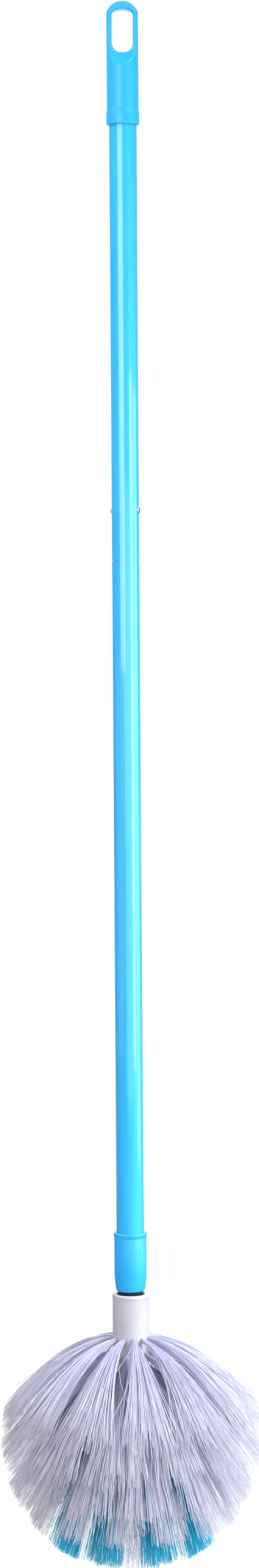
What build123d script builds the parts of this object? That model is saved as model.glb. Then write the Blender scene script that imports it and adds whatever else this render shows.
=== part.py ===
from build123d import *
import math
import os

os.makedirs("parts", exist_ok=True)

# Cobweb brush, hanging by its loop, in millimetres and degrees. +Z is up, and the front view looks along +Y.
# The origin is on the pole's axis, at the top of the hanging slot, where the hook bears.

# Pole: two lengths of steel tube, each in a thin coloured film
pole_diameter = 22.0
film_thickness = 0.25
tube_wall = 0.45
upper_pole_shown = 350.5
lower_pole_shown = 540.0
seam_gap = 0.3

# Joint in the pole: a spigot that stays in the lower tube, with a spring clip and two buttons
spigot_wall = 0.5
spigot_slide_gap = 0.1
spigot_press_gap = 0.02
spigot_above_seam = 65.0
spigot_below_seam = 60.0
button_above_seam = 41.0
button_diameter = 5.9
button_hole_gap = 0.25
button_proud = 1.15
button_dome_height = 0.95
button_dome_shares = ((0.55, 0.0), (1.0, 1.0))
button_turn = 15.0
leaf_thickness = 0.5
leaf_width = 6.0
leaf_wall_gap = 0.3
leaf_straight = 8.0
leaf_above_button = 4.5
leaf_drop = 46.0
leaf_bend_radius = 2.0

# Hanging cap on the pole's upper end
cap_diameter = 25.4
cap_length = 93.0
cap_fit_gap = 0.08
tube_in_cap = 41.0
ring_diameter = 26.5
ring_height = 14.0
ring_chamfer_height = 3.0
loop_thickness = 13.0
loop_crown_height = 8.8
loop_top_bar = 6.2
loop_edge_chamfer = 1.0
slot_width = 17.0
slot_length = 35.0
slot_crown_height = 2.4
slot_edge_chamfer = 0.7
scoop_end_depth = 45.0
scoop_radius = 30.0

# Blue sleeve on the pole's lower end
sleeve_length = 46.4
sleeve_fit_gap = 0.08
lip_diameter = 27.1
lip_height = 3.6
lip_chamfer = 0.8
sleeve_body_diameter = 25.8
sleeve_end_diameter = 22.9
sleeve_taper_height = 8.0
tube_in_sleeve = 28.0

# Black threaded insert that plugs the tube and takes the head
plug_gap = 0.1
plug_length = 24.0
plug_core_diameter = 12.0
plug_floor = 5.0
flange_height = 2.0
neck_diameter = 20.6
neck_fit_gap = 0.1
neck_shown = 2.6
thread_root_diameter = 18.6
thread_length = 27.0

# Head: a moulded hub with a threaded socket, and rows of tufts down to a domed end
hub_diameter = 29.0
hub_rim_diameter = 29.5
hub_rim_height = 3.0
hub_rim_chamfer = 0.9
socket_gap = 0.3
socket_floor_gap = 1.5
socket_mouth_diameter = 22.6
socket_mouth_depth = 1.2
first_row_depth = 35.5
row_pitch = 12.0
first_band_rise = 4.5
hub_core_diameter = 17.0
dome_height = 12.0
dome_steps = 5
end_band_height = 6.0

# Tufts: how many in each row, the angle at which they leave, and where they are trimmed on a ball
row_tufts = (12, 12, 12, 12, 8)
row_turns = (7.5, -7.5, 7.5, -7.5, 22.5)
row_launch_angles = (-8.0, -22.0, -38.0, -52.0, -65.0)
row_tip_angles = (10.0, -6.0, -24.0, -42.0, -57.0)
end_tufts = 5
end_tuft_circle_radius = 7.0
end_launch_angle = -82.0
end_tip_angle = -82.0
ball_radius = 103.0
ball_depth = 115.5
tuft_root_radius = 1.25
side_spreads = (12.0, 12.0, 11.0, 8.5, 8.5)
fall_spread = 6.5
launch_spread = 7.0
end_spread = 3.0
strands_around = 4
strand_root_size = 0.85
strand_tip_size = 0.6
strand_embed = 1.5
strand_bow_share = 0.36
station_shares = (0.4, 1.0)
trim_shares = (1.0, 0.985, 0.97, 0.99, 0.965)

# Wire anchors behind the tufts
staple_radial = 3.0
staple_width = 2.5
staple_wire = 0.4

overrun = 5.0

# Radii and heights that follow from the sizes above
pole_r = pole_diameter / 2
tube_r = pole_r - film_thickness
bore_r = tube_r - tube_wall
spigot_r = bore_r - spigot_slide_gap
spigot_bore_r = spigot_r - spigot_wall
cap_r = cap_diameter / 2
ring_r = ring_diameter / 2
neck_r = neck_diameter / 2
hub_r = hub_diameter / 2
core_r = hub_core_diameter / 2

cap_bottom = -cap_length
upper_top = cap_bottom + tube_in_cap
seam = cap_bottom - upper_pole_shown
lower_top = seam - seam_gap
button_z = seam + button_above_seam
sleeve_top = seam - lower_pole_shown
sleeve_bottom = sleeve_top - sleeve_length
lower_bottom = sleeve_top - tube_in_sleeve
hub_top = sleeve_bottom - neck_shown
thread_bottom = hub_top - thread_length
socket_bottom = thread_bottom - socket_floor_gap
ball_centre = hub_top - ball_depth

side_rows = len(row_tufts) - 1
row_heights = [hub_top - first_row_depth - row_pitch * n for n in range(side_rows)]
band_tops = [row_heights[0] + first_band_rise]
band_tops += [row_heights[n] + row_pitch / 2 for n in range(1, side_rows)]
dome_top = row_heights[-1] - row_pitch / 2
end_band_top = dome_top - end_band_height
band_tops += [dome_top, end_band_top]
row_heights.append((dome_top + end_band_top) / 2)

# The buttons point outwards to both sides, the right one turned a little towards the front
turn = math.radians(button_turn)
to_right = Vector(math.cos(turn), -math.sin(turn), 0)
button_r = button_diameter / 2
leaf_out_x = math.sqrt((spigot_bore_r - leaf_wall_gap) ** 2 - (leaf_width / 2) ** 2)


def ring(outer, inner, low, high):
    """A tube on the Z axis."""
    height = high - low
    solid = Cylinder(outer, height) - Cylinder(inner, height + 2 * overrun)
    return Pos(0, 0, (low + high) / 2) * solid


def slab(low, high):
    """A block across the whole part, to keep what lies between two heights."""
    side = 2 * (ball_radius + overrun)
    return Pos(0, 0, (low + high) / 2) * Box(side, side, high - low)


def turned(points):
    """A solid of revolution about Z, from an outline of radii and heights."""
    with BuildSketch(Plane.XZ) as outline:
        with BuildLine():
            Polyline(*points, close=True)
        make_face()
    return revolve(outline.sketch, Axis.Z)


def button_holes():
    """The cutter for both buttons' holes through the walls."""
    across = Plane(origin=(0, 0, button_z), x_dir=(0, 0, 1), z_dir=to_right)
    return across * Cylinder(button_r + button_hole_gap, 2 * (pole_r + overrun))


def scoop_top():
    """The height at which the hollow scoops run out into the loop's flat sides."""
    half = loop_thickness / 2
    return math.sqrt(scoop_radius**2 - (cap_r - half - scoop_radius) ** 2) - scoop_end_depth


def loop():
    """The flattened upper part: bevelled limbs cut from the round body, under an arched top."""
    low = scoop_top()
    with BuildSketch() as section:
        Circle(cap_r)
        Rectangle(2 * ring_r, loop_thickness, mode=Mode.INTERSECT)
        chamfer(section.vertices(), loop_edge_chamfer)
    limbs = Pos(0, 0, low) * extrude(section.sketch, loop_top_bar + overrun - low)
    arch_r = (cap_r**2 + loop_crown_height**2) / (2 * loop_crown_height)
    wheel = Cylinder(arch_r, loop_thickness)
    wheel = chamfer(wheel.edges().filter_by(GeomType.CIRCLE), loop_edge_chamfer)
    arch = Pos(0, 0, loop_top_bar - arch_r) * Rot(90, 0, 0) * wheel
    return limbs & (arch + slab(low - overrun, loop_top_bar - loop_crown_height))


def loop_side():
    """The cap's outline from the side: the round body runs up into a thinner loop over hollow scoops."""
    half = loop_thickness / 2
    flat_bottom = scoop_top()
    high = loop_top_bar + overrun
    low = cap_bottom - overrun
    out = half + scoop_radius
    middle = scoop_radius * math.sin(math.radians(45))
    with BuildSketch(Plane.YZ) as outline:
        with BuildLine():
            Polyline((half, flat_bottom), (half, high), (-half, high), (-half, flat_bottom))
            ThreePointArc(
                (-half, flat_bottom),
                (-out + middle, flat_bottom - middle),
                (-out, flat_bottom - scoop_radius),
            )
            Line((-out, flat_bottom - scoop_radius), (-out, low))
            Line((-out, low), (out, low))
            Line((out, low), (out, flat_bottom - scoop_radius))
            ThreePointArc(
                (out, flat_bottom - scoop_radius),
                (out - middle, flat_bottom - middle),
                (half, flat_bottom),
            )
        make_face()
    return extrude(outline.sketch, amount=ring_r + overrun, both=True)


def hanging_slot():
    """The cutter for the slot: a shallow arch at the top and a half round at the bottom."""
    half = slot_width / 2
    low = half - slot_length
    with BuildSketch(Plane.XZ) as outline:
        with BuildLine():
            Line((-half, low), (-half, -slot_crown_height))
            ThreePointArc((-half, -slot_crown_height), (0, 0), (half, -slot_crown_height))
            Line((half, -slot_crown_height), (half, low))
            ThreePointArc((half, low), (0, -slot_length), (-half, low))
        make_face()
    return extrude(outline.sketch, amount=ring_r + overrun, both=True)


def on_slot(point):
    """Whether the middle of an edge lies on the slot's outline."""
    margin = slot_edge_chamfer / 2
    return abs(point.X) < slot_width / 2 + margin and -slot_length - margin < point.Z < margin


def hang_cap():
    """Moulded cap: a flattened loop with its slot, and a collar round the mouth that takes the tube."""
    ring_top = cap_bottom + ring_height
    body = turned(
        [
            (0, loop_top_bar),
            (cap_r, loop_top_bar),
            (cap_r, ring_top),
            (ring_r, ring_top - ring_chamfer_height),
            (ring_r, cap_bottom),
            (0, cap_bottom),
        ]
    )
    body = (body & loop_side() & slab(cap_bottom - overrun, scoop_top())) + loop()
    body -= hanging_slot()
    rims = [e for f in body.faces().filter_by(Axis.Y) for e in f.edges()]
    body = chamfer([e for e in rims if on_slot(e.center())], slot_edge_chamfer)
    socket = Cylinder(pole_r + cap_fit_gap, tube_in_cap + overrun)
    return body - Pos(0, 0, cap_bottom + (tube_in_cap - overrun) / 2) * socket


def upper_tube():
    return ring(tube_r, bore_r, seam, upper_top) - button_holes()


def upper_film():
    return ring(pole_r, tube_r, seam, upper_top) - button_holes()


def lower_tube():
    return ring(tube_r, bore_r, lower_bottom, lower_top)


def lower_film():
    return ring(pole_r, tube_r, lower_bottom, lower_top)


def spigot():
    """Inner tube pressed into the lower tube, a sliding fit in the upper one."""
    low = lower_top - spigot_below_seam
    fixed = ring(bore_r - spigot_press_gap, spigot_bore_r, low, lower_top)
    sliding = ring(spigot_r, spigot_bore_r, lower_top, seam + spigot_above_seam)
    return fixed + sliding - button_holes()


def snap_button():
    """A domed button along its own plane's axis, from the leaf out through both walls."""
    top = pole_r + button_proud
    dome_points = [(button_r * out, top - button_dome_height * down) for out, down in button_dome_shares]
    return turned([(0, leaf_out_x), (0, top), *dome_points, (button_r, leaf_out_x)])


def placed_button(outward):
    return Plane(origin=(0, 0, button_z), x_dir=(0, 0, 1), z_dir=outward) * snap_button()


def snap_spring():
    """A strip bent into a V, whose legs press the buttons out."""
    x = leaf_out_x - leaf_thickness / 2
    top = button_z + leaf_above_button
    knee = button_z - leaf_straight
    side = Plane(origin=(0, 0, 0), x_dir=to_right, z_dir=to_right.cross(Vector(0, 0, 1)))
    points = [(-x, top), (-x, knee), (0, button_z - leaf_drop), (x, knee), (x, top)]
    path = side * FilletPolyline(*points, radius=leaf_bend_radius)
    start = Plane(origin=path @ 0, x_dir=to_right, z_dir=(0, 0, -1))
    return sweep(start * Rectangle(leaf_thickness, leaf_width), path=path)


def thread_sleeve():
    """Blue sleeve: a flared lip, a straight body and a taper down to the neck."""
    inner = pole_r + sleeve_fit_gap
    neck = neck_r + neck_fit_gap
    body_r = sleeve_body_diameter / 2
    flange_bottom = lower_bottom - flange_height
    under_lip = sleeve_top - lip_height
    return turned(
        [
            (inner, sleeve_top),
            (lip_diameter / 2 - lip_chamfer, sleeve_top),
            (lip_diameter / 2, sleeve_top - lip_chamfer),
            (body_r, under_lip),
            (body_r, sleeve_bottom + sleeve_taper_height),
            (sleeve_end_diameter / 2, sleeve_bottom),
            (neck, sleeve_bottom),
            (neck, flange_bottom),
            (inner, flange_bottom),
        ]
    )


def thread_insert():
    """Black plug, a flange under the tube's end, a neck and the stub that carries the thread."""
    plug_r = bore_r - plug_gap
    plug_top = lower_bottom + plug_length
    flange_bottom = lower_bottom - flange_height
    root_r = thread_root_diameter / 2
    body = turned(
        [
            (0, plug_top),
            (plug_r, plug_top),
            (plug_r, lower_bottom),
            (pole_r, lower_bottom),
            (pole_r, flange_bottom),
            (neck_r, flange_bottom),
            (neck_r, hub_top),
            (root_r, hub_top),
            (root_r, thread_bottom),
            (0, thread_bottom),
        ]
    )
    core_depth = plug_top - flange_bottom - plug_floor
    core = Cylinder(plug_core_diameter / 2, core_depth + overrun)
    return body - Pos(0, 0, plug_top - (core_depth - overrun) / 2) * core


def row_azimuths(row):
    count = row_tufts[row]
    return [row_turns[row] + 360 * n / count for n in range(count)]


def staple_boxes():
    """One anchor behind each tuft of the rows, flat wire driven into the hub's core."""
    outer = math.sqrt(core_r**2 - (staple_width / 2) ** 2)
    anchor = Pos(outer - staple_radial / 2, 0, 0) * Box(staple_radial, staple_width, staple_wire)
    return [
        Pos(0, 0, row_heights[row]) * Rot(0, 0, azimuth) * anchor
        for row in range(len(row_tufts))
        for azimuth in row_azimuths(row)
    ]


def brush_hub():
    """Hub with the threaded socket, turned down to a core that the bands of tufts sit round."""
    rim_r = hub_rim_diameter / 2
    socket_r = neck_r + socket_gap
    rim_bottom = hub_top - hub_rim_height
    hub = turned(
        [
            (socket_mouth_diameter / 2, hub_top),
            (rim_r - hub_rim_chamfer, hub_top),
            (rim_r, hub_top - hub_rim_chamfer),
            (rim_r, rim_bottom),
            (hub_r, rim_bottom),
            (hub_r, band_tops[0]),
            (core_r, band_tops[0]),
            (core_r, end_band_top),
            (0, end_band_top),
            (0, socket_bottom),
            (socket_r, socket_bottom),
            (socket_r, hub_top - socket_mouth_depth),
        ]
    )
    return hub - staple_boxes()


def dome():
    """The hub's rounded lower end, in steps."""
    turns = [math.radians(90 * n / dome_steps) for n in range(dome_steps + 1)]
    edge = [(hub_r * math.cos(t), dome_top - dome_height * math.sin(t)) for t in turns[:-1]]
    return turned([(0, dome_top), *edge, (0, dome_top - dome_height)])


def direction(azimuth, angle):
    """A unit vector at an azimuth about Z and an angle above the level."""
    a = math.radians(azimuth)
    e = math.radians(angle)
    return Vector(math.cos(e) * math.cos(a), math.cos(e) * math.sin(a), math.sin(e))


def leaning(azimuth, angle, side, rise):
    """The same direction, turned sideways and upwards by small angles."""
    across = direction(azimuth + 90, 0)
    upward = direction(azimuth, angle + 90)
    turned_to = direction(azimuth, angle)
    turned_to += across * math.tan(math.radians(side))
    turned_to += upward * math.tan(math.radians(rise))
    return turned_to.normalized()


def strand(root, launch, tip):
    """One three-sided bristle strand, bowed from its launch direction to its tip and tapering all the way."""
    bend = root + launch * ((tip - root).length * strand_bow_share)
    stations = [(root - launch * strand_embed, launch, strand_root_size)]
    for t in station_shares:
        centre = root * (1 - t) ** 2 + bend * (2 * t * (1 - t)) + tip * t**2
        heading = ((bend - root) * (1 - t) + (tip - bend) * t).normalized()
        stations.append((centre, heading, strand_root_size + (strand_tip_size - strand_root_size) * t))
    across = launch.cross(Vector(0, 0, 1))
    if across.length < math.sin(math.radians(1)):
        across = Vector(1, 0, 0)
    sections = []
    for centre, heading, size in stations:
        side = (across - heading * across.dot(heading)).normalized()
        plane = Plane(origin=centre, x_dir=side, z_dir=heading)
        sections.append((plane * RegularPolygon(size / 2, 3)).face().outer_wire())
    return Solid.make_loft(sections, ruled=True)


def tuft(centre, azimuth, launch_angle, tip_angle, spreads):
    """A middle strand and a circle of strands round it, fanning out to the ball on which they are trimmed."""
    side, fall, opening = spreads
    across = direction(azimuth + 90, 0)
    upward = direction(azimuth, launch_angle + 90)
    offsets = [(0.0, 0.0)]
    for n in range(strands_around):
        around = math.radians(360 * n / strands_around)
        offsets.append((math.cos(around), math.sin(around)))
    strands = []
    for (a, b), trim in zip(offsets, trim_shares):
        root = centre + across * (a * tuft_root_radius) + upward * (b * tuft_root_radius)
        launch = leaning(azimuth, launch_angle, a * opening, b * opening)
        reach = leaning(azimuth, tip_angle, a * side, b * fall) * (ball_radius * trim)
        strands.append(strand(root, launch, Vector(0, 0, ball_centre) + reach))
    return strands


def tuft_row(row):
    """One band of the hub with its row of tufts, in one piece."""
    z = row_heights[row]
    low, high = band_tops[row + 1], band_tops[row]
    if row < side_rows:
        band = ring(hub_r, core_r, low, high)
        radius = hub_r
    else:
        core = Pos(0, 0, high) * Cylinder(core_r, 2 * dome_height)
        band = (dome() & slab(low, high)) - core
        radius = hub_r * math.sqrt(1 - ((high - z) / dome_height) ** 2)
    strands = []
    for azimuth in row_azimuths(row):
        centre = direction(azimuth, 0) * radius + Vector(0, 0, z)
        spreads = (side_spreads[row], fall_spread, launch_spread)
        strands += tuft(centre, azimuth, row_launch_angles[row], row_tip_angles[row], spreads)
    return band.fuse(*strands)


def end_tuft():
    """The dome's lowest part, with a middle tuft and a circle of tufts that point down."""
    band = dome() & slab(dome_top - dome_height, end_band_top)
    spreads = (end_spread, end_spread, end_spread)
    strands = tuft(Vector(0, 0, dome_top - dome_height), 0, -90, -90, spreads)
    depth = dome_height * math.sqrt(1 - (end_tuft_circle_radius / hub_r) ** 2)
    for n in range(end_tufts):
        azimuth = 360 * n / end_tufts
        centre = direction(azimuth, 0) * end_tuft_circle_radius + Vector(0, 0, dome_top - depth)
        strands += tuft(centre, azimuth, end_launch_angle, end_tip_angle, spreads)
    return band.fuse(*strands)


pieces = {
    "hang_cap": hang_cap(),
    "upper_tube": upper_tube(),
    "upper_film": upper_film(),
    "lower_tube": lower_tube(),
    "lower_film": lower_film(),
    "spigot": spigot(),
    "snap_spring": snap_spring(),
    "left_button": placed_button(-to_right),
    "right_button": placed_button(to_right),
    "thread_sleeve": thread_sleeve(),
    "thread_insert": thread_insert(),
    "brush_hub": brush_hub(),
    "tuft_staples": Compound(staple_boxes()),
    "end_tuft": end_tuft(),
}
for row in range(len(row_tufts)):
    pieces[f"tuft_row_{row + 1}"] = tuft_row(row)

for name, shape in pieces.items():
    export_step(shape, f"parts/{name}.step")
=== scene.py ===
import math
import random

import bmesh
import bpy
from mathutils import Matrix, Vector


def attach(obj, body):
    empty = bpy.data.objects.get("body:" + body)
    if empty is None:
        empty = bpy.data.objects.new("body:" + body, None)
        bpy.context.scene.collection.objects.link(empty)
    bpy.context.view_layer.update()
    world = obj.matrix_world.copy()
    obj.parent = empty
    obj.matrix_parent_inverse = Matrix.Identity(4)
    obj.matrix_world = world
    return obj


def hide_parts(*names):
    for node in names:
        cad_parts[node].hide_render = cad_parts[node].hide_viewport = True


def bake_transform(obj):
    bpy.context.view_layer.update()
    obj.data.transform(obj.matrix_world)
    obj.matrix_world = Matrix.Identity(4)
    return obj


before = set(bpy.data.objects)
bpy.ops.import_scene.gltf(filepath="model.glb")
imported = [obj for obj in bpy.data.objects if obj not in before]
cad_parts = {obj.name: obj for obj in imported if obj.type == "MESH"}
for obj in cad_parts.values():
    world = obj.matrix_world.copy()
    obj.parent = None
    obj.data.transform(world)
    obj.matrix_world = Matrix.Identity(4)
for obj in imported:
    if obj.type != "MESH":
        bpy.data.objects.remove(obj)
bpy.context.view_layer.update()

scene = bpy.context.scene
MM = 0.001

# Sizes, in millimetres, in the shared frame: the pole's axis is Z and the hanging slot's top is at 0
POLE_R = 11.0
TUBE_R = 10.75
UPPER_TOP = -52.0
SEAM = -443.5
LOWER_TOP = -443.8
LOWER_BOTTOM = -1011.5

# Hang cap: its barrel and collar, the flattened loop, the slot in it and the scoops below it
CAP_R = 12.7
CAP_BORE_R = 11.08
CAP_MOUTH = -93.0
COLLAR_R = 13.25
COLLAR_TOP = -79.0
LOOP_HALF = 6.5
LOOP_TOP = 6.2
LOOP_RISE = 8.8
SLOT_HALF = 8.5
SLOT_RISE = 2.4
SLOT_LENGTH = 35.0
SCOOP_R = 30.0
SCOOP_TOP = -26.7
SCOOP_TURN = 46

# Snap buttons and the spring clip behind them
BUTTON_Z = -402.5
BUTTON_R = 2.95
BUTTON_PROUD = 0.8
BUTTON_TURN = math.radians(15)
HOLE_GAP = 0.25
LEAF_X = 9.0
LEAF_THICKNESS = 0.5
LEAF_WIDTH = 6.0
FOLD_R = 2.0

# Sleeve and insert
SLEEVE_TOP = -983.5
SLEEVE_BOTTOM = -1029.9
SLEEVE_R = 12.86
SLEEVE_END_R = 11.45
SLEEVE_BORE_R = 11.12
LIP_R = 13.55
PLUG_R = 9.95
PLUG_BORE_R = 6.0
PLUG_LENGTH = 24.0
FLANGE_R = 10.95
FLANGE_HEIGHT = 2.0
NECK_R = 10.3
NECK_BORE_R = 10.4
THREAD_ROOT_R = 9.3
THREAD_BOTTOM = -1059.5
THREAD_PITCH = 4.5
THREAD_TURNS = 4.6

# Hub
HUB_TOP = -1032.5
HUB_R = 14.5
RIM_R = 14.75
SOCKET_R = 10.6
SOCKET_BOTTOM = -1061.0
DOME_TOP = -1110.0
DOME_HEIGHT = 12.0

# Tufts, row by row from the top: height, number, turn about Z, the angles at which they leave the hub and at
# which their tips point from the ball's middle, how far they fan sideways and up, and each tuft's filaments
BALL_R = 105.5
BALL_Z = -1148.0
ROW_HEIGHTS = (-1068.0, -1080.0, -1092.0, -1104.0, -1113.0)
ROW_TUFTS = (12, 12, 12, 12, 8)
ROW_TURNS = (7.5, -7.5, 7.5, -7.5, 22.5)
LAUNCHES = (-8.0, -22.0, -38.0, -52.0, -65.0)
TIPS = (10.0, -6.0, -24.0, -38.0, -56.0)
FANS = (14.0, 14.0, 13.0, 7.5, 8.0)
RISES = (6.5, 6.0, 6.0, 4.5, 7.0)
FILAMENTS = (130, 120, 115, 90, 220)
BLUE_ROW = 4
END_RING_R = 7.0
END_RING_TUFTS = 5
END_FILAMENTS = 30
END_FAN = 16.0


# Building helpers


def arc(cx, cz, radius, start, end, steps):
    """Points round part of a circle, between two angles in degrees."""
    turns = [math.radians(start + (end - start) * n / steps) for n in range(steps + 1)]
    return [(cx + radius * math.cos(t), cz + radius * math.sin(t)) for t in turns]


def bow(half_width, rise):
    """The radius of a shallow arc, from half its width and its height."""
    return (half_width**2 + rise**2) / (2 * rise)


def outline(bm, points):
    """A closed line of edges through points of radius and height, in the plane Y = 0."""
    verts = [bm.verts.new((x * MM, 0, z * MM)) for x, z in points]
    edges = [bm.edges.new(pair) for pair in zip(verts, verts[1:])]
    edges.append(bm.edges.new((verts[-1], verts[0])))
    return verts + edges


def close(bm):
    """Welds seams and poles, and turns the normals outwards."""
    bmesh.ops.remove_doubles(bm, verts=bm.verts[:], dist=1e-6)
    bmesh.ops.dissolve_degenerate(bm, edges=bm.edges[:], dist=1e-7)
    bmesh.ops.recalc_face_normals(bm, faces=bm.faces[:])
    return bm


def lathe(points, steps=128):
    """A closed outline turned once round Z."""
    bm = bmesh.new()
    geom = outline(bm, points)
    bmesh.ops.spin(
        bm, geom=geom, cent=(0, 0, 0), axis=(0, 0, 1), angle=math.tau, steps=steps, use_merge=True
    )
    return close(bm)


def add_ridge(bm, root, crest, width, start, steps=48):
    """Adds a thread's ridge, of a four-sided section and closed at both ends, wound down Z from a height."""
    ridge = bmesh.new()
    half = width / 2
    section = [(root, start - half), (crest, start - half / 4), (crest, start + half / 4), (root, start + half)]
    face = bmesh.ops.contextual_create(ridge, geom=outline(ridge, section))["faces"]
    bmesh.ops.spin(
        ridge,
        geom=[*face, *face[0].edges, *face[0].verts],
        cent=(0, 0, 0),
        axis=(0, 0, 1),
        dvec=(0, 0, -THREAD_PITCH * MM / steps),
        angle=math.tau * THREAD_TURNS,
        steps=int(steps * THREAD_TURNS),
    )
    bmesh.ops.recalc_face_normals(ridge, faces=ridge.faces[:])
    coil = bpy.data.meshes.new("coil")
    ridge.to_mesh(coil)
    ridge.free()
    bm.from_mesh(coil)


def prism(points, depth):
    """A solid between Y = -depth and Y = depth, from an outline in X and Z."""
    bm = bmesh.new()
    face = bmesh.ops.contextual_create(bm, geom=outline(bm, points))["faces"]
    bmesh.ops.translate(bm, verts=bm.verts[:], vec=(0, -depth * MM, 0))
    grown = bmesh.ops.extrude_face_region(bm, geom=face)["geom"]
    moved = [v for v in grown if isinstance(v, bmesh.types.BMVert)]
    bmesh.ops.translate(bm, verts=moved, vec=(0, 2 * depth * MM, 0))
    bmesh.ops.recalc_face_normals(bm, faces=bm.faces[:])
    return bm


def as_object(name, bm):
    mesh = bpy.data.meshes.new(name)
    bm.to_mesh(mesh)
    bm.free()
    made = bpy.data.objects.new(name, mesh)
    scene.collection.objects.link(made)
    return made


def bake(obj):
    """Replaces the object's mesh with what its modifiers make of it."""
    graph = bpy.context.evaluated_depsgraph_get()
    mesh = bpy.data.meshes.new_from_object(obj.evaluated_get(graph))
    obj.modifiers.clear()
    obj.data = mesh


def cut(obj, cutter, operation="DIFFERENCE"):
    """Cuts one object with another, which is then removed."""
    step = obj.modifiers.new("cut", "BOOLEAN")
    step.operation = operation
    step.solver = "EXACT"
    step.object = cutter
    bake(obj)
    bpy.data.objects.remove(cutter)


def smooth(obj, angle=35):
    """Smooth shading, kept sharp where faces meet at more than an angle."""
    bm = bmesh.new()
    bm.from_mesh(obj.data)
    for face in bm.faces:
        face.smooth = True
    for edge in bm.edges:
        edge.smooth = len(edge.link_faces) == 2 and edge.calc_face_angle(0) < math.radians(angle)
    bm.to_mesh(obj.data)
    bm.free()
    return obj


def finish_piece(obj, material, body, node):
    """Gives a piece its material and the body it rides on, and hides the CAD node that it stands for."""
    obj.data.materials.clear()
    obj.data.materials.append(material)
    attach(obj, body)
    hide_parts(node)


# Materials


def linear(hex_colour):
    """An sRGB hex colour as linear values."""
    values = [int(hex_colour[n : n + 2], 16) / 255 for n in (1, 3, 5)]
    return (*[v / 12.92 if v <= 0.04045 else ((v + 0.055) / 1.055) ** 2.4 for v in values], 1)


def add(tree, kind, inputs=(), links=(), stops=(), **settings):
    """Adds a node, with its settings, its input values, its links and the stops of its ramp."""
    made = tree.nodes.new(kind)
    for name, value in settings.items():
        setattr(made, name, value)
    for name, value in dict(inputs).items():
        made.inputs[name].default_value = value
    for name, source in dict(links).items():
        tree.links.new(source, made.inputs[name])
    for n, (position, colour) in enumerate(stops):
        band = made.color_ramp.elements
        stop = band[n] if n < len(band) else band.new(position)
        stop.position = position
        stop.color = linear(colour) if isinstance(colour, str) else (colour, colour, colour, 1)
    return made


def surface(name, inputs):
    """A new material with a Principled shader."""
    made = bpy.data.materials.new(name)
    made.use_nodes = True
    tree = made.node_tree
    shader = tree.nodes["Principled BSDF"]
    for key, value in inputs.items():
        shader.inputs[key].default_value = value
    return made, tree, shader


def hard_surface(name, inputs, colours, gloss, cloud, skin, relief):
    """A hard finish: its colour drifts over one pattern, and its gloss and relief follow a finer one.

    A pattern is its size in millimetres and how much of that it keeps along Z, where under 1 is drawn out.
    """
    made, tree, shader = surface(name, inputs)
    place = add(tree, "ShaderNodeTexCoord").outputs["Object"]
    patterns = []
    for size, squeeze in (cloud, skin):
        often = 1 / (size * MM)
        scale = {"Scale": (often, often, often * squeeze)}
        scaled = add(tree, "ShaderNodeMapping", scale, {"Vector": place}).outputs["Vector"]
        noise = add(tree, "ShaderNodeTexNoise", {"Scale": 1.0, "Detail": 3.0}, {"Vector": scaled})
        patterns.append(noise.outputs["Fac"])
    drift, pores = patterns
    low, high = colours
    tone = add(tree, "ShaderNodeValToRGB", links={"Fac": drift}, stops=((0.3, low), (0.7, high)))
    low, high = gloss
    shine = add(tree, "ShaderNodeValToRGB", links={"Fac": pores}, stops=((0.35, low), (0.65, high)))
    dents = add(tree, "ShaderNodeBump", {"Distance": relief * MM}, {"Height": pores})
    tree.links.new(tone.outputs["Color"], shader.inputs["Base Color"])
    tree.links.new(shine.outputs["Color"], shader.inputs["Roughness"])
    tree.links.new(dents.outputs["Normal"], shader.inputs["Normal"])
    return made


PLASTIC = {"IOR": 1.49, "Specular IOR Level": 0.5}
COATED = {"IOR": 1.5, "Coat Weight": 1.0, "Coat Roughness": 0.05}
METAL = {"Metallic": 1.0}

# Moulded polypropylene of the cap and the sleeve: an even sky blue with a satin skin
blue_cap = hard_surface(
    "moulded_blue_polypropylene", PLASTIC, ("#1FA8F0", "#2AB1F6"), (0.3, 0.38), (14.0, 0.4), (0.9, 1.0), 0.012
)

# Glossy film shrunk on the pole: cleaner reflections than the mouldings, with a slight ripple along the tube
blue_film = hard_surface(
    "glossy_blue_film", COATED, ("#1DB1F6", "#28B8FA"), (0.27, 0.34), (9.0, 0.08), (3.0, 0.12), 0.002
)

# Bright steel tube under the film, with the long lines of the draw
tube_steel = hard_surface(
    "drawn_steel_tube", METAL, ("#8E9296", "#C2C6C9"), (0.28, 0.42), (0.5, 0.02), (0.5, 0.02), 0.01
)

# Blued strip of the snap spring, darker and finer in its lines
spring_steel = hard_surface(
    "blued_spring_steel", METAL, ("#4E545E", "#7A828E"), (0.22, 0.34), (0.3, 0.05), (0.3, 0.05), 0.01
)

# Pressed and plated buttons, with a soft satin gloss
button_steel = hard_surface(
    "plated_button_steel", METAL, ("#A9ADB3", "#CFD3D8"), (0.38, 0.5), (1.6, 1.0), (1.2, 1.0), 0.003
)

# Flat galvanised wire that anchors the tufts
staple_wire = hard_surface(
    "galvanised_flat_wire", METAL, ("#8B8F90", "#B9BDBD"), (0.35, 0.5), (0.3, 0.5), (0.3, 0.5), 0.01
)

# Black moulded insert, warm brown in the light and fairly glossy
black_plastic = hard_surface(
    "moulded_black_nylon", PLASTIC, ("#0F0B0A", "#1E1714"), (0.26, 0.36), (5.0, 0.4), (0.9, 1.0), 0.015
)

# White moulded hub, very slightly lavender, with a smooth satin skin
white_plastic = hard_surface(
    "moulded_white_polypropylene",
    PLASTIC,
    ("#BBBBC4", "#C3C4CC"),
    (0.28, 0.36),
    (12.0, 0.4),
    (1.4, 1.0),
    0.003,
)


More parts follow.
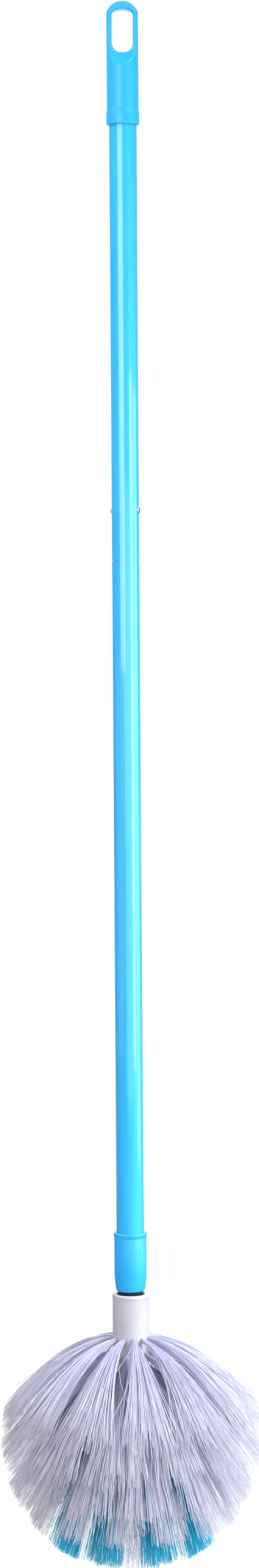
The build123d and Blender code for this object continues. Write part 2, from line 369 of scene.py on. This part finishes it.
def bristle(name, painted_root_shade, root, tip):
    """Filaments, each with its own tint: painted shade darkens them towards the root, where the tufts pack
    deep, and they are a little see-through.
    """
    made, tree, shader = surface(name, {"Roughness": 0.38, "IOR": 1.49, "Specular IOR Level": 0.35})
    own = add(tree, "ShaderNodeAttribute", attribute_name="tint").outputs["Fac"]
    along = add(tree, "ShaderNodeAttribute", attribute_name="along").outputs["Fac"]
    # Along each filament the colour runs from painted shade at the root to the paler tip
    length = add(
        tree, "ShaderNodeValToRGB", links={"Fac": along}, stops=((0.0, painted_root_shade), (0.4, root), (1.0, tip))
    )
    shade = add(tree, "ShaderNodeValToRGB", links={"Fac": own}, stops=((0.0, 0.7), (0.6, 1.0)))
    mixed = add(
        tree,
        "ShaderNodeMix",
        {"Factor": 1.0},
        {"A": length.outputs["Color"], "B": shade.outputs["Color"]},
        data_type="RGBA",
        blend_type="MULTIPLY",
    )
    colour = mixed.outputs["Result"]
    tree.links.new(colour, shader.inputs["Base Color"])
    through = add(tree, "ShaderNodeBsdfTranslucent", links={"Color": colour})
    both = add(
        tree, "ShaderNodeMixShader", {"Fac": 0.12}, {1: shader.outputs["BSDF"], 2: through.outputs["BSDF"]}
    )
    tree.links.new(both.outputs["Shader"], tree.nodes["Material Output"].inputs["Surface"])
    return made


# Pale lavender filament and turquoise-blue filament, both of drawn plastic with trimmed ends; the first colour
# of each is painted shade at the roots
bristle_white = bristle("pale_lavender_filament", "#B2B3D0", "#D1D3EF", "#E8E9F6")
bristle_blue = bristle("turquoise_blue_filament", "#0E7C9C", "#12AACF", "#1DC4EA")


# Hang cap: a round body that runs up into a flattened loop, over hollow scoops


def cap_body():
    """The cap before it is cut: a barrel above a wider collar, with the bore for the tube."""
    uncut_top = 8.0
    round_r = 1.0
    profile = [(0, uncut_top), (CAP_R, uncut_top), (CAP_R, COLLAR_TOP), (CAP_R + 0.05, COLLAR_TOP - 1.2)]
    profile += [(COLLAR_R - 0.15, COLLAR_TOP - 4.0), (COLLAR_R, COLLAR_TOP - 6.0), (COLLAR_R, CAP_MOUTH + 1.4)]
    profile += arc(COLLAR_R - round_r, CAP_MOUTH + round_r, round_r, 0, -90, 5)
    profile += [(11.4, CAP_MOUTH), (CAP_BORE_R, CAP_MOUTH + 0.4), (CAP_BORE_R, UPPER_TOP), (0, UPPER_TOP)]
    return as_object("hang_cap_moulding", lathe(profile))


def side_mask(reach, low):
    """What is kept of the cap, as seen from the side: a flat loop that swells out below it."""
    scoop_x = LOOP_HALF + SCOOP_R
    above = 12.0
    side = [(LOOP_HALF, SCOOP_TOP), (LOOP_HALF, above), (-LOOP_HALF, above), (-LOOP_HALF, SCOOP_TOP)]
    side += arc(-scoop_x, SCOOP_TOP, SCOOP_R, 0, -SCOOP_TURN, 20)[1:]
    side += [(-reach, low), (reach, low)]
    side += arc(scoop_x, SCOOP_TOP, SCOOP_R, SCOOP_TURN - 180, -180, 20)[:-1]
    mask = prism(side, reach)
    bmesh.ops.rotate(mask, verts=mask.verts[:], matrix=Matrix.Rotation(math.pi / 2, 3, "Z"))
    return as_object("side_mask", mask)


def arch_mask(reach, low):
    """What is kept of the cap, as seen from the front: all below the loop's arched top."""
    radius = bow(CAP_R, LOOP_RISE)
    below_arch = -10.0
    arch = [(-reach, low), (reach, low), (reach, below_arch)]
    arch += [p for p in arc(0, LOOP_TOP - radius, radius, 20, 160, 40) if abs(p[0]) < CAP_R + 0.3]
    arch += [(-reach, below_arch)]
    return as_object("arch_mask", prism(arch, 20))


def slot_cutter():
    """The hanging slot: straight through the loop's middle, and flared towards both faces."""
    crown = bow(SLOT_HALF, SLOT_RISE)
    spread = math.degrees(math.asin(SLOT_HALF / crown))
    slot = arc(0, -crown, crown, 90 - spread, 90 + spread, 16)
    slot += arc(0, SLOT_HALF - SLOT_LENGTH, SLOT_HALF, 180, 360, 32)
    flare = 2.0
    cutter = prism(slot, 5.3)
    rims = [f for f in cutter.faces if abs(f.normal.y) > 0.9]
    for rim in rims:
        grown = bmesh.ops.extrude_face_region(cutter, geom=[rim])["geom"]
        moved = [v for v in grown if isinstance(v, bmesh.types.BMVert)]
        outward = math.copysign(flare * MM, moved[0].co.y)
        centre = Vector((0, moved[0].co.y, -SLOT_LENGTH / 2 * MM))
        bmesh.ops.scale(cutter, verts=moved, vec=(1.22, 1, 1.1), space=Matrix.Translation(-centre))
        bmesh.ops.translate(cutter, verts=moved, vec=(0, outward, 0))
    doubled = [f for f in rims if f.is_valid]
    bmesh.ops.delete(cutter, geom=doubled, context="FACES_ONLY")
    return as_object("slot_cutter", close(cutter))


def hang_cap():
    cap = cap_body()
    reach, low = 16.0, CAP_MOUTH - 2.0
    cut(cap, side_mask(reach, low), "INTERSECT")
    cut(cap, arch_mask(reach, low), "INTERSECT")
    cut(cap, slot_cutter())
    # The edges are rounded as a whole, as a mould's are
    skin = cap.modifiers.new("skin", "REMESH")
    skin.mode = "VOXEL"
    skin.voxel_size = 0.45 * MM
    soft = cap.modifiers.new("soft", "SMOOTH")
    soft.factor = 0.5
    soft.iterations = 9
    light = cap.modifiers.new("light", "DECIMATE")
    light.ratio = 0.3
    bake(cap)
    finish_piece(smooth(cap, 60), blue_cap, "upper_pole", "hang_cap")


hang_cap()


# Pole: a film round each length of tube, with chamfered ends and the holes for the buttons


def to_button_axis():
    """Turns Z to the buttons' common axis, at their height."""
    lean = Matrix.Rotation(-BUTTON_TURN, 4, "Z") @ Matrix.Rotation(math.pi / 2, 4, "Y")
    return Matrix.Translation((0, 0, BUTTON_Z * MM)) @ lean


def film_tube(name, low, high, holes, body, node):
    ends = 0.1
    profile = [(POLE_R, low + ends), (POLE_R, high - ends), (POLE_R - ends, high), (TUBE_R, high)]
    profile += [(TUBE_R, low), (POLE_R - ends, low)]
    if holes:
        above, below = BUTTON_Z + 6, BUTTON_Z - 6
        profile[1:1] = [(POLE_R, below), (POLE_R, above)]
        profile[-2:-2] = [(TUBE_R, above), (TUBE_R, below)]
    film = as_object(name, lathe(profile))
    if holes:
        hole = bmesh.new()
        bmesh.ops.create_cone(
            hole,
            cap_ends=True,
            segments=48,
            radius1=(BUTTON_R + HOLE_GAP) * MM,
            radius2=(BUTTON_R + HOLE_GAP) * MM,
            depth=40 * MM,
            matrix=to_button_axis(),
        )
        cut(film, as_object("hole_cutter", hole))
    finish_piece(smooth(film), blue_film, body, node)


film_tube("upper_pole_film", SEAM, UPPER_TOP, True, "upper_pole", "upper_film")
film_tube("lower_pole_film", LOWER_BOTTOM, LOWER_TOP, False, "lower_pole", "lower_film")


# Snap buttons: a straight shank, a rounded shoulder and a low dome


def snap_button(name, turn, body, node):
    round_r = 0.8
    top = POLE_R + BUTTON_PROUD
    shoulder = top - 0.9
    profile = [(0, LEAF_X), (BUTTON_R, LEAF_X), (BUTTON_R, shoulder)]
    profile += arc(BUTTON_R - round_r, shoulder, round_r, 0, 70, 6)[1:]
    profile += [(1.4, top - 0.05), (0.7, top - 0.01), (0, top)]
    bm = lathe(profile, 48)
    place = to_button_axis() @ Matrix.Rotation(turn, 4, "X")
    bmesh.ops.transform(bm, matrix=place, verts=bm.verts[:])
    button = smooth(as_object(name, bm), 40)
    finish_piece(button, button_steel, body, node)


snap_button("left_snap_button", math.pi, "left_snap", "left_button")
snap_button("right_snap_button", 0, "right_snap", "right_button")


# Spring clip: a strip folded into a V inside the spigot, drawn at rest; in the real clip its legs bend in with
# the buttons


def ribbon(points, thickness):
    """The outline of a bent strip, from the points along its middle."""
    middle = [Vector(p) for p in points]
    ahead = [b - a for a, b in zip(middle, middle[1:])]
    inner_runs = [a.normalized() + b.normalized() for a, b in zip(ahead, ahead[1:])]
    runs = [ahead[0], *inner_runs, ahead[-1]]
    sides = [Vector((run.y, -run.x)).normalized() * (thickness / 2) for run in runs]
    outer = [tuple(p + side) for p, side in zip(middle, sides)]
    inner = [tuple(p - side) for p, side in zip(middle, sides)]
    return outer + inner[::-1]


def spring_leg(name, turn):
    x = LEAF_X - LEAF_THICKNESS / 2
    apex, knee, tip = BUTTON_Z - 46.0, BUTTON_Z - 8.0, BUTTON_Z + 4.5
    lean = math.atan2(x, knee - apex)
    bend = apex + FOLD_R / math.sin(lean)
    points = arc(0, bend, FOLD_R, -90, -math.degrees(lean), 8)
    foot_x, foot_z = points[-1]
    parts = 12
    for n in range(1, parts + 1):
        points.append((foot_x + (x - foot_x) * n / parts, foot_z + (knee - foot_z) * n / parts))
    points += [(x, knee + 4.0), (x, BUTTON_Z), (x, tip)]
    bm = prism(ribbon(points, LEAF_THICKNESS), LEAF_WIDTH / 2)
    bmesh.ops.rotate(bm, verts=bm.verts[:], matrix=Matrix.Rotation(turn - BUTTON_TURN, 3, "Z"))
    leg = smooth(as_object(name, bm), 20)
    leg.data.materials.append(spring_steel)
    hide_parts("snap_spring")
    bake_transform(leg)


spring_leg("left_spring_leg", math.pi)
spring_leg("right_spring_leg", 0)


# Blue sleeve on the lower end: flared lip, a groove, a straight body and a rounded taper


def thread_sleeve():
    top, bottom = SLEEVE_TOP, SLEEVE_BOTTOM
    round_r = 0.9
    profile = [(SLEEVE_BORE_R, top - 0.3), (11.4, top)]
    profile += arc(LIP_R - round_r, top - round_r, round_r, 90, 0, 6)
    profile += [(LIP_R - 0.2, top - 2.2), (LIP_R - 0.45, top - 3.3)]
    profile += [(SLEEVE_R - 0.08, top - 3.7), (SLEEVE_R - 0.14, top - 4.0), (SLEEVE_R, top - 4.4)]
    waist = top - 29.6
    drop = SLEEVE_R - SLEEVE_END_R
    taper = waist - bottom - 0.5
    parts = 10
    for n in range(parts + 1):
        t = n / parts
        profile.append((SLEEVE_R - drop * t**2.2, waist - taper * t))
    profile += [(11.1, bottom), (10.5, bottom), (NECK_BORE_R, bottom + 0.4)]
    profile += [(NECK_BORE_R, LOWER_BOTTOM - FLANGE_HEIGHT), (SLEEVE_BORE_R, LOWER_BOTTOM - FLANGE_HEIGHT)]
    sleeve = smooth(as_object("blue_thread_sleeve", lathe(profile)), 30)
    finish_piece(sleeve, blue_cap, "lower_pole", "thread_sleeve")


thread_sleeve()


# Black insert: a hollow plug, a flange, the neck that shows and the threaded stub


def thread_insert():
    top = LOWER_BOTTOM + PLUG_LENGTH
    flange = LOWER_BOTTOM - FLANGE_HEIGHT
    round_r = 0.3
    profile = [(PLUG_BORE_R, top), (9.6, top), (PLUG_R, top - 1.0), (PLUG_R, LOWER_BOTTOM)]
    profile += [(FLANGE_R, LOWER_BOTTOM), (FLANGE_R, flange), (NECK_R, flange), (NECK_R, HUB_TOP + round_r)]
    profile += arc(NECK_R - round_r, HUB_TOP + round_r, round_r, 0, -90, 4)
    profile += [(THREAD_ROOT_R, HUB_TOP), (THREAD_ROOT_R, THREAD_BOTTOM + 1.2)]
    profile += [(THREAD_ROOT_R - 1.0, THREAD_BOTTOM), (0, THREAD_BOTTOM)]
    profile += [(0, LOWER_BOTTOM + 3), (PLUG_BORE_R, LOWER_BOTTOM + 3)]
    bm = lathe(profile, 96)
    add_ridge(bm, THREAD_ROOT_R - 0.1, NECK_R, 2.2, HUB_TOP - 3.0)
    insert = smooth(as_object("black_threaded_insert", bm), 30)
    finish_piece(insert, black_plastic, "lower_pole", "thread_insert")


thread_insert()


# White hub: a beaded rim round the socket, a straight barrel with tuft holes, and a domed end


def direction(azimuth, angle):
    """A unit vector at an azimuth about Z and an angle above the level, in degrees."""
    a, e = math.radians(azimuth), math.radians(angle)
    return Vector((math.cos(e) * math.cos(a), math.cos(e) * math.sin(a), math.sin(e)))


def tuft_roots():
    """Where each tuft leaves the hub: its row, azimuth and centre in millimetres."""
    roots = []
    for row, count in enumerate(ROW_TUFTS):
        z = ROW_HEIGHTS[row]
        radius = HUB_R
        if z < DOME_TOP:
            radius = HUB_R * math.sqrt(1 - ((DOME_TOP - z) / DOME_HEIGHT) ** 2)
        for n in range(count):
            azimuth = ROW_TURNS[row] + 360 * n / count
            roots.append((row, azimuth, direction(azimuth, 0) * radius + Vector((0, 0, z))))
    return roots


def hub_profile():
    bead = 1.5
    profile = [(SOCKET_R, SOCKET_BOTTOM), (SOCKET_R, HUB_TOP - 1.2)]
    profile += [(11.0, HUB_TOP - 0.6), (11.5, HUB_TOP - 0.15), (11.9, HUB_TOP)]
    profile += arc(RIM_R - bead, HUB_TOP - bead, bead, 90, 0, 8)
    profile += [(RIM_R, HUB_TOP - 2.6), (RIM_R - 0.07, HUB_TOP - 3.1), (HUB_R + 0.02, HUB_TOP - 3.5)]
    profile += [(HUB_R, z) for z in (HUB_TOP - 4.0, -1050, -1062, -1086, -1098)]
    turns = [math.radians(90 * n / 16) for n in range(16)]
    profile += [(HUB_R * math.cos(t), DOME_TOP - DOME_HEIGHT * math.sin(t)) for t in turns]
    return profile + [(0, DOME_TOP - DOME_HEIGHT), (0, SOCKET_BOTTOM)]


def brush_hub():
    hub = as_object("white_brush_hub", lathe(hub_profile(), 120))
    holes = bmesh.new()
    for row, azimuth, centre in tuft_roots():
        aim = direction(azimuth, LAUNCHES[row] * 0.5).to_track_quat("Z", "Y").to_matrix().to_4x4()
        bmesh.ops.create_cone(
            holes,
            cap_ends=True,
            segments=20,
            radius1=1.5 * MM,
            radius2=1.9 * MM,
            depth=5 * MM,
            matrix=Matrix.Translation(centre * MM) @ aim,
        )
    cut(hub, as_object("hole_cutters", holes))
    bm = bmesh.new()
    bm.from_mesh(hub.data)
    add_ridge(bm, SOCKET_R + 0.1, SOCKET_R - 0.2, 1.0, HUB_TOP - 5.2)
    bm.to_mesh(hub.data)
    bm.free()
    finish_piece(smooth(hub, 30), white_plastic, "brush_head", "brush_hub")


brush_hub()


# Bristles: every filament bows from its hole to the ball on which the brush is trimmed

# Drawn thicker than a real filament, so that each one shows
FILAMENT_THICKNESS = 0.5
ROOT_SPREAD = 1.4
ROOT_ASKEW = 6
SHORT_SHARE, SHORTEST = 0.12, 0.07
STRAY_SHARE = 0.04
STATIONS = (0.0, 0.13, 0.28, 0.44, 0.6, 0.74, 0.87, 1.0)
SIDES = 4


def leaning(azimuth, angle, side, rise):
    """A direction turned sideways and upwards by small angles."""
    turned = direction(azimuth, angle)
    turned += direction(azimuth + 90, 0) * math.tan(math.radians(side))
    turned += direction(azimuth, angle + 90) * math.tan(math.radians(rise))
    return turned.normalized()


def filament(rng, centre, azimuth, launch_angle, tip_angle, side, rise):
    """Points along one filament, with a slight crinkle that grows towards the tip."""
    reach = math.sqrt(rng.random())
    turn = rng.uniform(0, math.tau)
    a, b = reach * math.cos(turn), reach * math.sin(turn)
    across = direction(azimuth + 90, 0)
    upward = direction(azimuth, launch_angle + 90)
    root = centre + across * (a * ROOT_SPREAD) + upward * (b * ROOT_SPREAD)
    askew = a * ROOT_ASKEW + rng.gauss(0, 1.5)
    launch = leaning(azimuth, launch_angle, askew, b * ROOT_ASKEW + rng.gauss(0, 1.5))
    trim = 1 - abs(rng.gauss(0, 0.018)) - (SHORTEST * rng.random() if rng.random() < SHORT_SHARE else 0)
    aim = leaning(azimuth, tip_angle, a * side + rng.gauss(0, 1.5), b * rise + rng.gauss(0, 0.6))
    tip = Vector((0, 0, BALL_Z)) + aim * (BALL_R * trim)
    size = abs(rng.gauss(0.1, 0.16))
    if rng.random() < STRAY_SHARE:
        size += rng.uniform(0.2, 0.9)
        stray = leaning(azimuth, tip_angle, rng.gauss(0, side), rng.gauss(0, rise))
        tip = Vector((0, 0, BALL_Z)) + stray * (BALL_R * trim)
    lean = (tip - root).cross(Vector((a + 0.3, b, 0.7))).normalized()
    lean_2 = (tip - root).cross(lean).normalized()
    bend = root + launch * ((tip - root).length * rng.uniform(0.3, 0.42))
    phase, waves = rng.uniform(0, math.tau), rng.uniform(2.0, 3.2)
    points = [root - launch * 2.5]
    for t in STATIONS:
        centre_line = root * (1 - t) ** 2 + bend * (2 * t * (1 - t)) + tip * t**2
        wave = size * t
        centre_line += lean * (wave * math.sin(phase + waves * math.tau * t))
        centre_line += lean_2 * (wave * 0.6 * math.cos(phase + waves * math.tau * t))
        points.append(centre_line)
    return points


def tuft(rng, count, clump, spread, *shape):
    """One tuft's filaments, each as its points and its tint, from 0 for dark to 1 for pale."""
    made = []
    for _ in range(count):
        path = filament(rng, *shape)
        made.append((path, min(1.0, max(0.0, rng.gauss(clump, spread)))))
    return made


def strands(name, filaments):
    """One mesh of tapering four-sided filaments, each with its own tint and its place along itself."""
    curve = bpy.data.curves.new(name, "CURVE")
    curve.dimensions = "3D"
    curve.bevel_depth = FILAMENT_THICKNESS / 2 * MM
    curve.bevel_resolution = 0
    curve.use_fill_caps = True
    for path, _ in filaments:
        spline = curve.splines.new("POLY")
        spline.points.add(len(path) - 1)
        spline.points.foreach_set("co", [c for p in path for c in (*(p * MM), 1)])
        spline.points.foreach_set("radius", [1.0 - 0.3 * n / (len(path) - 1) for n in range(len(path))])
    drawn = bpy.data.objects.new(name, curve)
    scene.collection.objects.link(drawn)
    mesh = bpy.data.meshes.new_from_object(drawn.evaluated_get(bpy.context.evaluated_depsgraph_get()))
    bpy.data.objects.remove(drawn)
    # The mesh holds the end caps of the strands, last strand first, and then their sides
    length = len(STATIONS) + 1
    own, along = [], []
    for _, tint in reversed(filaments):
        own += [tint] * (2 * SIDES)
        along += [1.0] * SIDES + [0.0] * SIDES
    for _, tint in filaments:
        own += [tint] * (SIDES * length)
        along += [n / (length - 1) for n in range(length) for _ in range(SIDES)]
    for key, values in (("tint", own), ("along", along)):
        mesh.attributes.new(key, "FLOAT", "POINT").data.foreach_set("value", values)
    bm = bmesh.new()
    bm.from_mesh(mesh)
    bmesh.ops.remove_doubles(bm, verts=bm.verts[:], dist=2e-6)
    for face in bm.faces:
        face.smooth = True
    bm.to_mesh(mesh)
    bm.free()
    made = bpy.data.objects.new(name, mesh)
    scene.collection.objects.link(made)
    return made


def brush_head():
    """The rows of tufts round the hub, and then the tufts that point down from its end."""
    rng = random.Random(41)
    kept = 1.0
    roots = tuft_roots()
    for row, tip_angle in enumerate(TIPS):
        filaments = []
        count = int(FILAMENTS[row] * kept)
        for its_row, azimuth, centre in roots:
            if its_row == row:
                clump = rng.gauss(0.58, 0.12)
                shape = (centre, azimuth, LAUNCHES[row], tip_angle, FANS[row], RISES[row])
                filaments += tuft(rng, count, clump, 0.28, *shape)
        made = strands(f"bristle_row_{row + 1}", filaments)
        blue = row == BLUE_ROW
        material = bristle_blue if blue else bristle_white
        finish_piece(made, material, "brush_head", f"tuft_row_{row + 1}")
    filaments = []
    ends = [(Vector((0, 0, DOME_TOP - DOME_HEIGHT)), 0, -90)]
    ring_z = DOME_TOP - DOME_HEIGHT * math.sqrt(1 - (END_RING_R / HUB_R) ** 2)
    for n in range(END_RING_TUFTS):
        azimuth = n * 360 / END_RING_TUFTS
        ends.append((direction(azimuth, 0) * END_RING_R + Vector((0, 0, ring_z)), azimuth, -82))
    for centre, azimuth, angle in ends:
        shape = (centre, azimuth, angle, angle, END_FAN, END_FAN)
        filaments += tuft(rng, int(END_FILAMENTS * kept), 0.6, 0.3, *shape)
    made = strands("bristle_end_tufts", filaments)
    finish_piece(made, bristle_white, "brush_head", "end_tuft")


brush_head()


# Metal parts that the frame already holds: the tubes, the spigot and the anchors
for node, material in (
    ("upper_tube", tube_steel),
    ("lower_tube", tube_steel),
    ("spigot", tube_steel),
    ("tuft_staples", staple_wire),
):
    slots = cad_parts[node].data.materials
    for n in range(len(slots)):
        slots[n] = material


# Studio: a pale floor below, and large soft lights, the strongest from the right. Lengths are in metres here


def studio_floor():
    radius, height = 1.1, -1.75
    place = Matrix.Translation((0, 0, height))
    bm = bmesh.new()
    bmesh.ops.create_circle(bm, cap_ends=True, segments=96, radius=radius, matrix=place)
    ground = as_object("studio_floor", bm)
    # Matt paper, lit from behind as well, so that it reads as white as the air above it
    paper = hard_surface(
        "pale_paper_floor",
        {"Specular IOR Level": 0.2, "Emission Color": linear("#FFFFFF"), "Emission Strength": 0.86},
        ("#9C9C9F", "#A2A2A4"),
        (0.88, 0.94),
        (60.0, 1.0),
        (4.0, 1.0),
        0.1,
    )
    ground.data.materials.append(paper)


studio_floor()


def soft_room():
    """A plain white background that gives the object a gentler light."""
    world = bpy.data.worlds.new("soft_room")
    world.use_nodes = True
    tree = world.node_tree
    seen = add(tree, "ShaderNodeBackground", {"Color": linear("#FFFFFF"), "Strength": 1.05})
    cast = tree.nodes["Background"]
    cast.inputs["Color"].default_value = linear("#F5F1F1")
    cast.inputs["Strength"].default_value = 0.24
    path = add(tree, "ShaderNodeLightPath").outputs["Is Camera Ray"]
    both = add(
        tree,
        "ShaderNodeMixShader",
        links={0: path, 1: cast.outputs["Background"], 2: seen.outputs["Background"]},
    )
    tree.links.new(both.outputs["Shader"], tree.nodes["World Output"].inputs["Surface"])
    scene.world = world


soft_room()

WARM, COOL, COOLER, PLAIN = "#FFF8F4", "#F6F8FF", "#F2F5FF", "#FFFFFF"


def softbox(name, azimuth, distance, z, width, height, power, colour, aim, spread=180):
    """A soft light at an azimuth to the right of the camera's side, facing the pole at a height.

    A spread under 180 degrees is a grid on the box, which keeps its light from the rest of the object.
    """
    light = bpy.data.lights.new(name, "AREA")
    light.shape = "RECTANGLE"
    light.size, light.size_y = width, height
    light.energy = power
    light.color = linear(colour)[:3]
    light.spread = math.radians(spread)
    made = bpy.data.objects.new(name, light)
    scene.collection.objects.link(made)
    a = math.radians(azimuth)
    made.location = (distance * math.sin(a), -distance * math.cos(a), z)
    made.rotation_euler = (Vector((0, 0, aim)) - made.location).to_track_quat("-Z", "Y").to_euler()
    made.visible_camera = False


softbox("left_front_box", -28, 2.0, -0.14, 1.45, 0.9, 18.5, "#FFF6F3", -0.14)
softbox("left_top_fill", -80, 1.2, 0.9, 0.6, 0.6, 2.9, WARM, -0.2, 60)
softbox("right_top_fill", 40, 1.4, 0.95, 0.6, 0.6, 1.5, COOL, -0.2, 50)
softbox("left_low_fill", -70, 1.5, -0.8, 1.6, 0.5, 1.5, WARM, -0.8)
softbox("front_fill", 8, 2.6, -0.8, 2.4, 0.95, 14, COOL, -0.8)
softbox("right_front_box", 51, 2.2, -0.67, 1.0, 0.98, 20, COOL, -0.67)
softbox("right_side_fill", 88, 2.2, -0.75, 1.4, 1.1, 17, COOLER, -0.75)
softbox("upper_right_key", 72, 1.7, 0.45, 1.0, 1.0, 5, COOLER, -1.15, 40)
softbox("back_fill", 180, 2.2, -0.65, 1.0, 1.4, 7, PLAIN, -0.65)
softbox("back_top_left", -150, 1.6, 1.0, 0.8, 0.8, 4, WARM, -0.7, 70)
softbox("back_top_right", 150, 1.6, 1.0, 0.8, 0.8, 5, COOLER, -0.7, 70)

# Camera: level, a little under three metres away, with the frame shifted down to the brush
camera = bpy.data.cameras.new("camera")
camera.lens = 82.2
camera.sensor_width = 36
camera.shift_y = -0.1413
camera.clip_end = 50
eye = bpy.data.objects.new("camera", camera)
scene.collection.objects.link(eye)
eye.location = (0.00303, -2.88, -0.4447)
eye.rotation_euler = (math.pi / 2, math.radians(0.384), 0)
scene.camera = eye
scene.view_settings.view_transform = "Standard"
